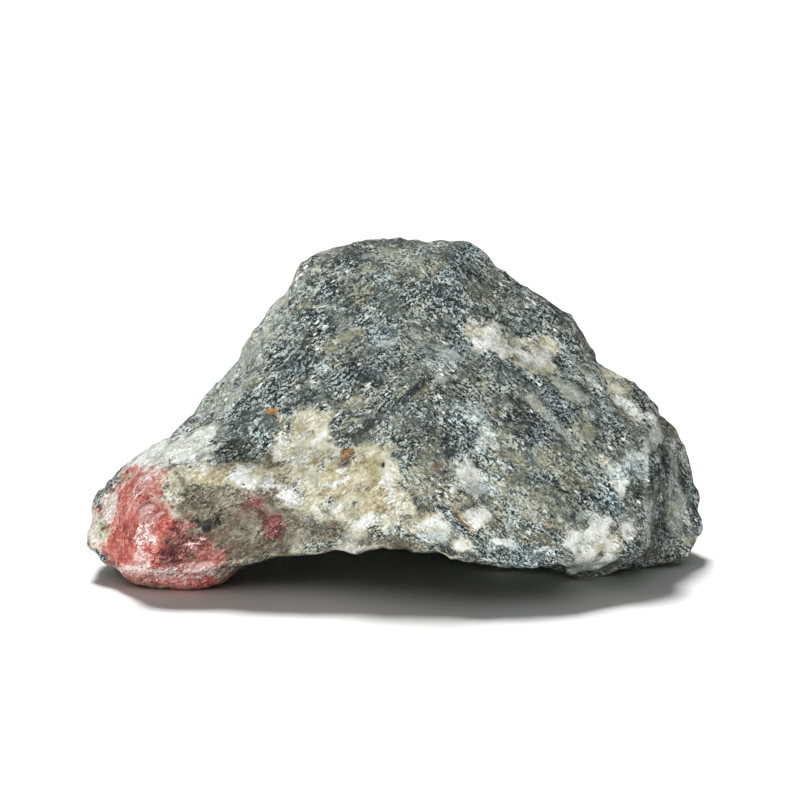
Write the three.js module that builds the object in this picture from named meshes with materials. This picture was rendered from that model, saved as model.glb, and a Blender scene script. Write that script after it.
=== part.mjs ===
// Tugtupite specimen: one broken lump of fine-grained grey rock, with a rounded toe of pink tugtupite at
// its left end. Millimetres, +Z up, seen from the front along +Y. The origin is under the middle of the
// lump, on the surface that it rests on.
//
// The lump is a polyhedron of broken faces. Its corners are listed below, and a net of rays from a short
// spine inside it finds its faces, so that the whole skin is one closed net. The net's edges are worn
// round, and then the relief of the rock is raised on it: lumps, broken facets, ledges and pits. What would
// reach below the table is cut flat there, because the lump rests on those feet.
import * as THREE from "three";
import { ConvexHull } from "three/addons/math/ConvexHull.js";

// ---- The net ------------------------------------------------------------------------------------
const NET_CELLS = 28; // cells along each side of the net's six patches
const SPINE_MIDDLE = new THREE.Vector3(0, 1.5, 12); // the rays start on a line along X, centred here
const SPINE_HALF_LENGTH = 15;
// Each round of wear moves each ray's reach this share of the way to the mean of its neighbours', then back
// out, so that the broken edges are worn round and the lump doesn't shrink.
const WEAR_ROUNDS = 2;
const WEAR_STEPS = [0.5, -0.45];
const LEAST_SLOPE = 0.5; // a ray that leaves the skin at a low angle is moved no more than a ray with this cosine

// ---- The corners of the broken faces, by region: [x, y, z] --------------------------------------
const CROWN = [
  [-8.3, 4, 34.3], [-3, 8, 33.3], [0, 9, 32.8], [2.5, 8, 32.4], [6, 7, 33.8], [8.3, 6, 33.4],
  [-6, 0, 31.5], [0, 0.5, 31.5], [6.5, 2, 32],
];
const LEFT_SIDE = [
  [-10.8, 4, 30.5], [-14.1, 4, 26.7], [-17.1, 3, 20.8], [-19.4, 2, 15.2],
  [-9, -1.5, 29.5], [-12.5, -3.5, 24.5], [-16, -5.5, 20.5], [-19.5, -4.5, 15.9],
];
const FLANGE = [
  [-25, 3.5, 13.4], [-28.6, 3.5, 9.7], [-31.2, 3, 8], [-32.6, 2, 6.2], [-32.5, 1, 4.7],
];
const TOE = [
  [-24.5, -3.5, 13.8], [-28.3, -5, 11], [-30.3, -6, 8.3], [-31.9, -6.5, 5.8], [-33.2, -6.5, 3.6],
  [-31.2, -7.5, 1.9], [-31.9, -5, 2.2], [-30, -4.5, 0.8],
  [-22.5, -8.5, 12.5], [-25.4, -10.5, 11.3], [-28.3, -10.8, 8.7], [-29, -11, 5.2],
  [-25.1, -13.3, 7.4], [-21.3, -12.8, 8.4], [-19.8, -12.5, 5.6], [-24.3, -13.3, 4.7],
  [-29.5, -10.2, 2.7], [-25.4, -12.6, 2.6], [-20.4, -12.3, 2.7], [-15.9, -11.5, 3.1],
  [-27.5, -9.2, -0.3], [-23.5, -10.3, -1.2], [-21, -10.3, -1.2], [-18.5, -10.5, 0.2], [-16, -10.2, 1.8],
  [-14, -10.5, 3.2],
  [-15.3, -10.6, 11.7], [-10.2, -12, 10.1], [-5.6, -13.3, 8],
  [-17.9, -11.2, 8.6], [-11.8, -11.7, 7], [-16.9, -11.7, 5.1],
];
const FRONT = [
  [0, -4, 25.5], [-7, -4.5, 23.5], [-10.5, -7.5, 19.2], [-16.5, -6.5, 14.8],
  [10.5, -2, 24.2], [17, 0.5, 22.5],
  [-5, -10.5, 15.8], [2, -8, 21.5], [12.3, -10.5, 15.8], [14.5, -6, 19.4], [21, -4.5, 16.5], [7, -13.5, 12.5],
  [-7, -13.2, 5.8], [0, -13.5, 10.3], [0, -15, 6.2], [16.3, -13.5, 10], [20.6, -12, 6.8], [10.2, -16.3, 6.6],
  [-8.6, -12, 2.8], [-4, -14.5, 3.4], [0, -15.5, 5.1], [3, -16, 5.7], [6, -16.5, 4.9], [10.2, -16.5, 3.7],
  [14.3, -16, 3.9], [17.2, -15, 4.2],
];
const RIGHT_END = [
  [27, -1, 14.5], [26.4, -4, 12.6], [25.4, -7.7, 9.2], [24.8, -9.3, 6.4],
  [20.8, -12.8, 4.1], [24.6, -9.8, 3.6], [28, -4, 2.3],
  [18, -4, -1.2], [21.9, -7, 1.2], [25.1, -5.5, 0.3], [28.5, -2.5, 0],
  [28.8, 0.7, 11.5], [28.8, -0.5, 6.5], [30.3, 2, 3],
  [29.5, 4, 13], [31.3, 4.5, 9], [33, 4, 5.4], [35, 1.6, 3.1], [34.8, 0.6, 1.6], [32, -1, 0.8],
];
const RIGHT_SIDE = [
  [9.5, 5, 31.7], [12.5, 5, 29.9], [16, 5, 26.5], [17.6, 5, 24.4], [19.5, 5, 21.7], [22, 4, 20],
  [24, 3, 19.9], [25.7, 3.5, 18.5], [26.5, 3, 16.8], [28.3, 2.5, 14.5],
];
const BACK = [
  [-10, 8, 28.5], [-2, 13, 28.5], [7, 12.5, 29], [14, 9, 26],
  [-19, 8, 18], [-9, 16, 20], [3, 16.5, 21], [13, 15.5, 19], [22, 9.5, 16],
  [-27.5, 8, 8.5], [-21, 14.5, 9], [-9, 20, 10.5], [3, 19, 12], [12, 20, 8.5], [23, 13.5, 9], [29.5, 8.5, 7],
  [-25, 9.5, 2.5], [-17, 16, 1.8], [-7, 18, -1.2], [4, 18.5, 0.8], [13, 16.5, -1.2], [24, 11, 2],
  [30.5, 7, 2.2],
];
const UNDERSIDE = [
  [-6, -10, 4], [0, -11.5, 5.2], [5, -11.5, 5.3], [11, -11.5, 4.2], [17, -10, 3.6],
  [-22, -4, 2.5], [-26, 3, 3], [-12, -4, 4.8], [-12, 6, 4], [0, -3, 5], [0, 8, 3.5], [10, 2, 3],
  [18, -1, -1], [11, 9, 2.5], [22, 5, 1.8], [-20, 8, 3], [-23, -6.5, -1.2], [-8, 14, -1.2], [12, 13, -1.2],
];
const CORNERS = [CROWN, LEFT_SIDE, FLANGE, TOE, FRONT, RIGHT_END, RIGHT_SIDE, BACK, UNDERSIDE].flat();

// ---- Relief -------------------------------------------------------------------------------------
// Lumps: each layer's height and how far apart its lumps are.
const LUMPS = [
  { height: 0.3, spacing: 9 },
  { height: 0.18, spacing: 4.2 },
  { height: 0.12, spacing: 2.4 },
];

// Broken facets: cells of this size, each a plane that leans from the skin by up to the tilt. The sharpness
// sets how abruptly one plane gives way to the next. A cell's middle lies anywhere in this share of its
// width.
const FACET_JITTER = [0.2, 0.8];
const FACETS = [
  { size: 10, tilt: 0.13, sharpness: 18 },
  { size: 5.5, tilt: 0.11, sharpness: 14 },
];

// Ledges: beside a line, the rock steps down by twice this height towards the side that "down" points to.
// The step dies away over its reach.
const LEDGE_WIDTH = 0.8;
const LEDGES = [
  { from: [-5.5, -10, 15], to: [2.5, -8, 21.5], down: [0.63, 0, -0.78], height: 0.45, reach: 3 }, // front slant
  { from: [-18, -10.5, 10.8], to: [-7, -12.5, 8.2], down: [0, 0, -1], height: 0.25, reach: 3 }, // toe band
  { from: [-5, 0, 31], to: [6, 2, 31.5], down: [0, -0.6, -0.8], height: 0.3, reach: 2.5 }, // crown lip
  { from: [-10.5, 1, 29], to: [-20, -1, 16.5], down: [-0.5, 0.8, 0.3], height: 0.35, reach: 2.5 }, // left rib
  { from: [28.5, 1, 13], to: [29, 1.5, 8], down: [0.6, 0.8, 0], height: 0.3, reach: 2 }, // right rib
  { from: [-12, 15, 18], to: [9, 16, 22], down: [0, 0.4, -0.9], height: 0.7, reach: 5 }, // back shelf
  { from: [-22, 12, 13], to: [-3, 19, 8], down: [0.2, 0.3, -0.9], height: 0.5, reach: 4 }, // back slant
  { from: [12, 13, 23], to: [17, 17, 7], down: [0.9, 0.2, 0.3], height: 0.6, reach: 4 }, // back corner
  { from: [-16, -2, 4], to: [8, 6, 3.5], down: [0.3, -0.9, 0], height: 0.5, reach: 4 }, // under step
];

// Pits: round hollows, each a middle, a radius and a depth.
const PITS = [
  { middle: [-11, -11.5, 6.1], radius: 3.2, depth: 0.4 }, // beside the toe
  { middle: [-12, -5, 22], radius: 3.5, depth: 0.4 }, // above the slant
  { middle: [13, -7, 15], radius: 3.5, depth: 0.45 }, // right of the middle
  { middle: [20, 1, 20.5], radius: 3, depth: 0.4 }, // shoulder
  { middle: [4, 19, 7], radius: 4, depth: 0.8 }, // back, low
  { middle: [-6, 12, 25], radius: 3.5, depth: 0.6 }, // back, high
  { middle: [-27, 4, 8], radius: 3, depth: 0.5 }, // left end
];

const NEXT_RANDOM = 31; // a cell that needs several random numbers reads them this many cells apart

// A repeatable random number from 0 to 1 for each point of a whole-number grid.
function cornerNoise(x, y, z) {
  let h = Math.imul(x, 374761393) + Math.imul(y, 668265263) + Math.imul(z, 1442695041);
  h = Math.imul(h ^ (h >>> 13), 1274126177);
  return ((h ^ (h >>> 16)) >>> 0) / 4294967296;
}

// Value noise from -1 to 1: the corner numbers of the grid cell round the point, blended by a quintic ease.
function noise(x, y, z) {
  const cell = [Math.floor(x), Math.floor(y), Math.floor(z)];
  const ease = [x - cell[0], y - cell[1], z - cell[2]].map((t) => t * t * t * (t * (t * 6 - 15) + 10));
  let sum = 0;
  for (let corner = 0; corner < 8; corner += 1) {
    const step = [corner & 1, (corner >> 1) & 1, corner >> 2];
    const weight = step.reduce((w, s, axis) => w * (s ? ease[axis] : 1 - ease[axis]), 1);
    sum += weight * cornerNoise(cell[0] + step[0], cell[1] + step[1], cell[2] + step[2]);
  }
  return 2 * sum - 1;
}

function lumps(point, { height, spacing }) {
  return height * noise(point.x / spacing, point.y / spacing, point.z / spacing);
}

// The step of one ledge at a point: a smooth step across its line, fading with the distance from the line.
function ledge(point, { from, to, down, height, reach }) {
  const line = new THREE.Line3(new THREE.Vector3(...from), new THREE.Vector3(...to));
  const away = point.clone().sub(line.closestPointToPoint(point, true, new THREE.Vector3()));
  const side = away.dot(new THREE.Vector3(...down));
  return -height * Math.tanh(side / LEDGE_WIDTH) * Math.exp(-away.length() / reach);
}

function pit(point, { middle, radius, depth }) {
  const share = point.distanceTo(new THREE.Vector3(...middle)) / radius;
  return -depth * Math.exp(-share * share);
}

// The grid cells round a cell, itself among them.
const NEIGHBOURS = [-1, 0, 1].flatMap((i) => [-1, 0, 1].flatMap((j) => [-1, 0, 1].map((k) => [i, j, k])));

// The broken facets at a point: each cell's plane, weighted so that the cell whose middle is nearest wins.
function facets(point, { size, tilt, sharpness }) {
  const cell = point.clone().divideScalar(size).floor();
  let [sum, weights] = [0, 0];
  for (const [i, j, k] of NEIGHBOURS) {
    const corner = [cell.x + i, cell.y + j, cell.z + k];
    const random = (which) => cornerNoise(corner[0] + NEXT_RANDOM * which, corner[1], corner[2]);
    const place = (which) => THREE.MathUtils.lerp(...FACET_JITTER, random(which));
    const inCell = new THREE.Vector3(place(1), place(2), place(3));
    const away = point.clone().sub(inCell.add(new THREE.Vector3(...corner)).multiplyScalar(size));
    const lean = new THREE.Vector3(random(4), random(5), random(6)).subScalar(0.5).multiplyScalar(2 * tilt);
    const weight = Math.exp((-sharpness * away.length()) / size);
    sum += weight * lean.dot(away);
    weights += weight;
  }
  return sum / weights;
}

// How far the rock stands out from the worn polyhedron at a point.
function relief(point) {
  const sumOf = (list, heightOf) => list.reduce((sum, one) => sum + heightOf(point, one), 0);
  return sumOf(LUMPS, lumps) + sumOf(FACETS, facets) + sumOf(LEDGES, ledge) + sumOf(PITS, pit);
}

// ---- Rays ---------------------------------------------------------------------------------------
// Each surface point is the end of a ray. The ray of a direction starts on the spine, further along it the
// more the direction points along it, so equal reaches lie on a long ellipsoid and the net stays even on a
// long stone.
function rayPoint(towards, reach) {
  const start = SPINE_MIDDLE.clone().setX(SPINE_MIDDLE.x + SPINE_HALF_LENGTH * towards.x);
  return start.addScaledVector(towards, reach);
}

const REACH_RANGE = [0.000001, 200]; // every reach lies in this range
const HALVINGS = 60;

// The direction whose ray passes through a point, found by halving the range of its reach.
function directionOf(point) {
  const offset = point.clone().sub(SPINE_MIDDLE);
  const aside = Math.hypot(offset.y, offset.z);
  let [near, far] = REACH_RANGE;
  for (let round = 0; round < HALVINGS; round += 1) {
    const middle = (near + far) / 2;
    const outside = Math.hypot(offset.x / (SPINE_HALF_LENGTH + middle), aside / middle) > 1;
    if (outside) near = middle;
    else far = middle;
  }
  const along = offset.x / (SPINE_HALF_LENGTH + near);
  return new THREE.Vector3(along, offset.y / near, offset.z / near).normalize();
}

// ---- The net: one ray for each place on a cube's surface ----------------------------------------
// The six patches of the cube: which axis each faces, its sign, and the two axes that run across it.
const PATCHES = [0, 1, 2].flatMap((axis) => [1, -1].map((sign) => ({
  axis,
  sign,
  across: sign > 0 ? [(axis + 1) % 3, (axis + 2) % 3] : [(axis + 2) % 3, (axis + 1) % 3],
})));

// The direction of a whole-number place on the cube. Equal angles, so that cells are even.
function directionAt(place) {
  const [x, y, z] = place.map((step) => Math.tan(((2 * step) / NET_CELLS - 1) * (Math.PI / 4)));
  return new THREE.Vector3(x, y, z).normalize();
}

// The net's directions, and its cells as four numbers into them.
function makeNet() {
  const directions = [];
  const cells = [];
  const numberOf = new Map();
  const numberAt = (place) => {
    const key = place.join();
    if (!numberOf.has(key)) {
      numberOf.set(key, directions.length);
      directions.push(directionAt(place));
    }
    return numberOf.get(key);
  };
  for (const { axis, sign, across: [u, v] } of PATCHES) {
    const placeAt = (a, b) => {
      const place = [0, 0, 0];
      place[axis] = sign > 0 ? NET_CELLS : 0;
      place[u] = a;
      place[v] = b;
      return place;
    };
    for (let a = 0; a < NET_CELLS; a += 1) {
      for (let b = 0; b < NET_CELLS; b += 1) {
        cells.push([[a, b], [a + 1, b], [a + 1, b + 1], [a, b + 1]].map(([i, j]) => numberAt(placeAt(i, j))));
      }
    }
  }
  return { directions, cells };
}

// Two triangles for each cell, split along its shorter diagonal.
function netGeometry({ cells }, points) {
  const triangles = cells.flatMap(([p, q, r, s]) => {
    const shortWay = points[p].distanceTo(points[r]) < points[q].distanceTo(points[s]);
    return shortWay ? [p, q, r, p, r, s] : [p, q, s, q, r, s];
  });
  const geometry = new THREE.BufferGeometry().setFromPoints(points);
  geometry.setIndex(triangles);
  geometry.computeVertexNormals();
  return geometry;
}

// ---- The stone ----------------------------------------------------------------------------------
// The faces of the polyhedron: corners that are neighbours as the spine sees them, from the hull of their
// directions.
function brokenFaces() {
  const corners = CORNERS.map((corner) => new THREE.Vector3(...corner));
  const cornerOf = new Map(corners.map((corner) => [directionOf(corner), corner]));
  return new ConvexHull().setFromPoints([...cornerOf.keys()]).faces.map((face) => {
    const first = face.edge;
    return [first, first.next, first.next.next].map((edge) => cornerOf.get(edge.head().point));
  });
}

// How far a ray runs before it leaves the polyhedron.
function reachToFaces(towards, faces) {
  const ray = new THREE.Ray(rayPoint(towards, 0), towards);
  const hits = faces.map(([a, b, c]) => ray.intersectTriangle(a, b, c, false, new THREE.Vector3()));
  return Math.max(...hits.filter(Boolean).map((hit) => hit.distanceTo(ray.origin)));
}

// Moves each reach a share of the way to the mean of its neighbours, or away from it if the share is
// negative.
function smooth({ cells }, reaches, share) {
  const sums = reaches.map(() => 0);
  const counts = reaches.map(() => 0);
  for (const cell of cells) {
    cell.forEach((from, corner) => {
      sums[from] += reaches[cell[(corner + 1) % 4]];
      counts[from] += 1;
    });
  }
  return reaches.map((reach, i) => reach + share * (sums[i] / counts[i] - reach));
}

function makeStoneGeometry() {
  const net = makeNet();
  const pointsAt = (reaches) => net.directions.map((towards, i) => rayPoint(towards, reaches[i]));
  const faces = brokenFaces();
  let reaches = net.directions.map((towards) => reachToFaces(towards, faces));
  for (let round = 0; round < WEAR_ROUNDS; round += 1) {
    WEAR_STEPS.forEach((share) => { reaches = smooth(net, reaches, share); });
  }
  const normals = netGeometry(net, pointsAt(reaches)).getAttribute("normal");
  const normalAt = (i) => new THREE.Vector3().fromBufferAttribute(normals, i);
  reaches = reaches.map((reach, i) => {
    const towards = net.directions[i];
    return reach + relief(rayPoint(towards, reach)) / Math.max(towards.dot(normalAt(i)), LEAST_SLOPE);
  });
  // The feet: the rays that would pass through the table end on it.
  reaches = reaches.map((reach, i) => {
    const towards = net.directions[i];
    return towards.z < 0 ? Math.min(reach, -SPINE_MIDDLE.z / towards.z) : reach;
  });
  const box = new THREE.Box3().setFromPoints(pointsAt(reaches));
  const shift = box.getCenter(new THREE.Vector3()).setZ(0);
  return netGeometry(net, pointsAt(reaches).map((point) => point.sub(shift)));
}

// ---- The part -----------------------------------------------------------------------------------
const rock = new THREE.MeshStandardMaterial({ color: 0x82847e, roughness: 0.85, flatShading: true });

const specimen = new THREE.Mesh(makeStoneGeometry(), rock);
specimen.name = "tugtupite_stone";

const part = new THREE.Group();
part.add(specimen);
export default part;
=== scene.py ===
"""The tugtupite specimen, dressed: one stone with its fine relief, its minerals and a plain studio.

The stone's surface is worked out in millimetres, on a fine net of rays round a short spine, and
written to the mesh in metres.
"""

import math

import bpy
import numpy as np
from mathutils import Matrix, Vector


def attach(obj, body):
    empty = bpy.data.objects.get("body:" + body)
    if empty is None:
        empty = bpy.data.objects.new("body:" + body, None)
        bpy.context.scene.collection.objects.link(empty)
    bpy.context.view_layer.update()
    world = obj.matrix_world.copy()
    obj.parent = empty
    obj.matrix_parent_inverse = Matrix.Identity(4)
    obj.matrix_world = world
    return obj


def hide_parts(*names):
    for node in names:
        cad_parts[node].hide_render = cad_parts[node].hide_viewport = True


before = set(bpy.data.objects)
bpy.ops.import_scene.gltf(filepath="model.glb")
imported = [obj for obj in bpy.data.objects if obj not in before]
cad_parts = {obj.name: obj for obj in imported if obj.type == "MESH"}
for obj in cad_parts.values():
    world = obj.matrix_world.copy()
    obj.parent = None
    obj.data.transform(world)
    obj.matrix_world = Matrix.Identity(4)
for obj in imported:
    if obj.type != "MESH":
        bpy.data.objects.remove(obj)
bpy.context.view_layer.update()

MM = 0.001
NODE_NAME = "tugtupite_stone"

# ---- the camera: a long lens, a little above the table ----------------------
CAMERA_TARGET = Vector((0.06, -1.82, 17.7)) * MM
CAMERA_DISTANCE = 420 * MM
CAMERA_ELEVATION = math.radians(14)
LENS = 180.0
SENSOR = 36.0
VIEW_PIXELS = 800
FOCAL_PIXELS = LENS / SENSOR * VIEW_PIXELS
# Millimetres to a pixel, at the target.
PIXEL = CAMERA_DISTANCE / MM / FOCAL_PIXELS

CAMERA_RIGHT = Vector((1, 0, 0))
CAMERA_UP = Vector((0, math.sin(CAMERA_ELEVATION), math.cos(CAMERA_ELEVATION)))
CAMERA_BACK = Vector((0, -math.cos(CAMERA_ELEVATION), math.sin(CAMERA_ELEVATION)))
VIEW_AXES = tuple(np.array(axis) for axis in (CAMERA_RIGHT, CAMERA_UP, CAMERA_BACK))


def place_camera():
    """A camera on CAMERA_BACK from the target, looking at it with no roll."""
    data = bpy.data.cameras.new("camera")
    data.lens = LENS
    data.sensor_width = SENSOR
    camera = bpy.data.objects.new("camera", data)
    camera.location = CAMERA_TARGET + CAMERA_BACK * CAMERA_DISTANCE
    camera.rotation_euler = (math.pi / 2 - CAMERA_ELEVATION, 0, 0)
    bpy.context.collection.objects.link(camera)
    bpy.context.scene.camera = camera


# ---- the net of rays --------------------------------------------------------
# A point of the stone is SPINE_MIDDLE + (SPINE_HALF_LENGTH dx, 0, 0) + reach d, for a direction d.
SPINE_MIDDLE = np.array([0.0588, -0.3238, 12.0])
SPINE_HALF_LENGTH = 15.0
COARSE_CELLS = 28
FINE_CELLS = 128
HALVINGS = 48
SHORTEST_REACH = 1e-6
LONGEST_REACH = 60.0
SMOOTHING_ROUNDS = 9
CALMING_ROUNDS = 12


def cad_points():
    """The corners of the CAD stone's faces, in millimetres."""
    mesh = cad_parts[NODE_NAME].data
    flat = np.empty(len(mesh.vertices) * 3, np.float32)
    mesh.vertices.foreach_get("co", flat)
    return flat.reshape(-1, 3).astype(float) / MM


def unit(rows):
    """Each row divided by its length."""
    return rows / np.linalg.norm(rows, axis=1, keepdims=True)


def reach_and_direction(points):
    """The reach t for which (x / (S + t))^2 + (y^2 + z^2) / t^2 is 1, found by halving, and d."""
    away = points - SPINE_MIDDLE
    along = np.abs(away[:, 0])
    aside = np.hypot(away[:, 1], away[:, 2])
    low = np.full(len(points), SHORTEST_REACH)
    high = np.full(len(points), LONGEST_REACH)
    for _ in range(HALVINGS):
        middle = (low + high) / 2
        outside = np.hypot(along / (SPINE_HALF_LENGTH + middle), aside / middle) > 1
        low = np.where(outside, middle, low)
        high = np.where(outside, high, middle)
    reach = (low + high) / 2
    spread = np.stack([SPINE_HALF_LENGTH + reach, reach, reach], axis=1)
    return reach, unit(away / spread)


def cube_net(cells):
    """Whole-number places (i, j, k) on the six sides of a cube, each once, and the quads between
    them with their corners in order as seen from outside."""
    steps = np.arange(cells + 1)
    first, second = (a.ravel() for a in np.meshgrid(steps, steps, indexing="ij"))
    places, quads = [], []
    inside = (first < cells) & (second < cells)
    corner = np.flatnonzero(inside)
    ring = np.stack([corner, corner + cells + 1, corner + cells + 2, corner + 1], axis=1)
    for axis in range(3):
        for side in (0, cells):
            place = np.empty((first.size, 3), int)
            place[:, axis] = side
            place[:, (axis + 1) % 3] = first
            place[:, (axis + 2) % 3] = second
            quads.append((ring if side else ring[:, ::-1]) + len(places) * first.size)
            places.append(place)
    unique, number = np.unique(np.concatenate(places), axis=0, return_inverse=True)
    return unique, number.ravel()[np.concatenate(quads)]


def directions(places, cells):
    """Unit directions: each cube coordinate is tan(45 degrees times its place from -1 to 1)."""
    return unit(np.tan(math.pi / 4 * (2 * places / cells - 1)))


def coarse_reaches():
    """The CAD stone's reaches as a cube array, known on its six sides and 0 inside."""
    reach, direction = reach_and_direction(cad_points())
    cube = direction / np.abs(direction).max(axis=1, keepdims=True)
    place = np.rint((np.arctan(cube) * 4 / math.pi + 1) * COARSE_CELLS / 2).astype(int)
    grid = np.zeros((COARSE_CELLS + 1,) * 3)
    grid[tuple(place.T)] = reach
    return grid


def corner_shares(part):
    """Each of a cell's eight corners, with its share by nearness for a place this far across."""
    for corner in np.ndindex(2, 2, 2):
        yield corner, np.prod(np.where(corner, part, 1 - part), axis=1)


def reaches_between(grid, places):
    """The mean of the eight corners of the cell that each place is in, weighted by nearness."""
    low = np.minimum(places.astype(int), COARSE_CELLS - 1)
    return sum(share * grid[tuple((low + corner).T)]
               for corner, share in corner_shares(places - low))


def neighbour_mean(values, quads):
    """For each point, the mean of the values at the far ends of the net's lines that meet there."""
    starts = np.concatenate([quads[:, i] for i in range(4)] * 2)
    ends = np.concatenate([quads[:, (i + step) % 4] for step in (1, 3) for i in range(4)])
    total = np.bincount(starts, values[ends], len(values))
    return total / np.bincount(starts, minlength=len(values))


def points_at(direction, reach):
    """The stone's points for these directions and reaches."""
    spine = np.outer(direction[:, 0] * SPINE_HALF_LENGTH, (1, 0, 0))
    return SPINE_MIDDLE + spine + direction * reach[:, None]


def normals_of(points, quads):
    """Unit normals: the sum of the cross products of the diagonals of the quads at each point."""
    a, b, c, d = (points[quads[:, i]] for i in range(4))
    facing = np.cross(c - a, d - b)
    total = np.zeros_like(points)
    for i in range(4):
        for axis in range(3):
            total[:, axis] += np.bincount(quads[:, i], facing[:, axis], len(points))
    return unit(total)


# ---- noise ------------------------------------------------------------------
HASH_MASK = 0xFFFFFFFF
HASH_STEPS = (73856093, 19349663, 83492791, 50331653)
HASH_MIXES = ((15, 2246822519 >> 1), (13, 3266489917 >> 1))
HASH_LAST_SHIFT = 16
FACET_MARGIN = 0.2


def cosine_and_sine(degrees):
    """The cosine and the sine of an angle in degrees."""
    return math.cos(math.radians(degrees)), math.sin(math.radians(degrees))


def cell_random(cells, seed):
    """A number from 0 to 1 for each whole-number cell: its coordinates and the seed, hashed."""
    mixed = cells[..., 0] * HASH_STEPS[0] ^ cells[..., 1] * HASH_STEPS[1]
    mixed = (mixed ^ cells[..., 2] * HASH_STEPS[2] ^ seed * HASH_STEPS[3]) & HASH_MASK
    for shift, step in HASH_MIXES:
        mixed = ((mixed ^ (mixed >> shift)) * step) & HASH_MASK
    return (mixed ^ (mixed >> HASH_LAST_SHIFT)) / HASH_MASK


def noise(points, size, seed):
    """Smooth noise from -1 to 1: random corners of cells of this size, joined by 3t^2 - 2t^3."""
    scaled = points / size
    low = np.floor(scaled).astype(np.int64)
    part = scaled - low
    part = part * part * (3 - 2 * part)
    total = sum(share * cell_random(low + corner, seed) for corner, share in corner_shares(part))
    return total * 2 - 1


def random_rows(cells, seed):
    """Three numbers from 0 to 1 for each cell."""
    return np.stack([cell_random(cells, seed + axis) for axis in range(3)], axis=1)


def drift(points, size, seed):
    """A wandering offset from -1 to 1 along each axis."""
    return np.stack([noise(points, size, seed + axis) for axis in range(3)], axis=1)


def facets(points, size, tilt, sharpness, seed):
    """Little broken planes: each cell has a seed point with a lean, a plane through it rises as
    the lean times the way from the seed, and near seeds share a point by exp(-sharpness r / size)."""
    home = np.floor(points / size).astype(np.int64)
    total = np.zeros(len(points))
    weights = np.zeros(len(points))
    for step in np.ndindex(3, 3, 3):
        cell = home + step - 1
        lean = unit(random_rows(cell, seed + 3) - 0.5)
        spot = FACET_MARGIN + (1 - 2 * FACET_MARGIN) * random_rows(cell, seed)
        away = points - (cell + spot) * size
        weight = np.exp(-sharpness * np.linalg.norm(away, axis=1) / size)
        total += weight * tilt * np.einsum("ij,ij->i", away, lean)
        weights += weight
    return total / weights


def smoothstep(low, high, values):
    """0 below low, 1 above high, and 3t^2 - 2t^3 between."""
    part = np.clip((values - low) / (high - low), 0, 1)
    return part * part * (3 - 2 * part)


# ---- the minerals: where each one shows -------------------------------------
# On the front: the middle (x, y) and the two half sizes in pixels of the 800 x 800 view, the
# share of the ground that the mineral covers if that is not 1, and the turn in degrees if there
# is one (up to the right is positive).
FRONT = {}
FRONT["dark"] = {
    "crown right": (470, 268, 18, 11, 1, -10),
    # Partly dark grains, partly painted shade left of the crown.
    "crown left": (345, 262, 18, 12, 0.7, 20),
    "crown middle": (420, 252, 12, 8, 0.6),
    "neck": (447, 292, 11, 9, 0.8),
    "left brow": (310, 318, 22, 8, 0.8, 10),
    "left brow low": (290, 345, 18, 11, 0.6, 40),
    "left cheek": (268, 365, 18, 10, 0.6, 40),
    "over blue": (352, 313, 12, 6, 0.9),
    "under blue": (378, 355, 14, 9, 0.6),
    "above ledge": (368, 378, 24, 12, 0.95, 20),
    "right of crown": (505, 325, 18, 9, 0.8, -15),
    "right slope high": (535, 312, 18, 18, 0.8, -20),
    "below streak": (505, 370, 10, 12, 0.7),
    "centre right": (530, 412, 24, 22, 0.95, -10),
    "centre": (451, 436, 6, 20, 0.9, -5),
    "left hollow": (232, 432, 34, 30, 0.55),
    # Partly dark grains, partly painted shade in the pocket under the hollow.
    "left hollow low": (235, 450, 30, 11, 0.9, 5),
    "ledge shadow": (377, 417, 30, 6, 1, 36),
    "right middle": (590, 470, 14, 8, 0.7),
    "right middle low": (602, 492, 16, 9, 0.8),
    "right slope": (560, 430, 20, 11, 0.6, -20),
    # The right face and end: partly their own darker brown-grey, partly painted shade on the side
    # turned from the light.
    "right face": (658, 500, 22, 56),
    "right end": (690, 500, 13, 40, 0.95, 12),
    # Painted shade on the down-facing underside at the lower right.
    "overhang": (662, 562, 40, 8, 0.9, 8),
    "corner blue": (564, 560, 7, 12, 0.9),
    "low right of centre": (442, 510, 9, 7, 0.7),
    "bevel wedge": (243, 570, 14, 4, 0.8, 25),
    "matrix top": (400, 300, 80, 44, 0.35),
    "matrix left": (300, 350, 60, 50, 0.35, 40),
    "matrix right": (560, 390, 60, 60, 0.4, -30),
    "matrix middle": (440, 400, 70, 50, 0.3),
    "left cheek high": (352, 372, 26, 13, 0.85, 25),
    "left band": (300, 345, 34, 16, 0.75, 45),
    "high left": (338, 284, 26, 13, 0.75, 20),
    "left middle": (305, 398, 32, 15, 0.85, 30),
    "centre right low": (530, 432, 22, 16, 0.75, -20),
    # Painted shade below the ledge's step.
    "under ledge": (420, 430, 20, 12, 0.7, 30),
    "beside end": (664, 488, 22, 62, 1, 3),
    "under lip": (480, 556, 40, 5, 0.7, -8),
    # Painted shade, partly: more dark on the right face, turned from the light, over its own
    # brown-grey.
    "above rim": (442, 548, 16, 6, 0.8, -8),
    "right face foot": (668, 535, 14, 18, 1, 10),
    "left cheek low": (262, 398, 30, 12, 0.9, 20),
    "ledge dark": (378, 368, 24, 13, 0.9, 10),
    "above rim right": (498, 551, 22, 8, 0.9, -12),
}
FRONT["steel"] = {
    "crown right": (478, 258, 26, 16, 0.6, -35),
    "blue patch": (384, 328, 24, 14, 0.9),
    "left hollow": (238, 425, 36, 34, 0.8),
    "left flank": (215, 405, 26, 16, 0.5, 30),
    "centre left": (310, 390, 30, 18, 0.7),
    "below centre": (470, 415, 26, 26, 0.8),
    "right low": (610, 495, 22, 16, 0.8),
    "low edge": (535, 558, 36, 13),
}
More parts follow.
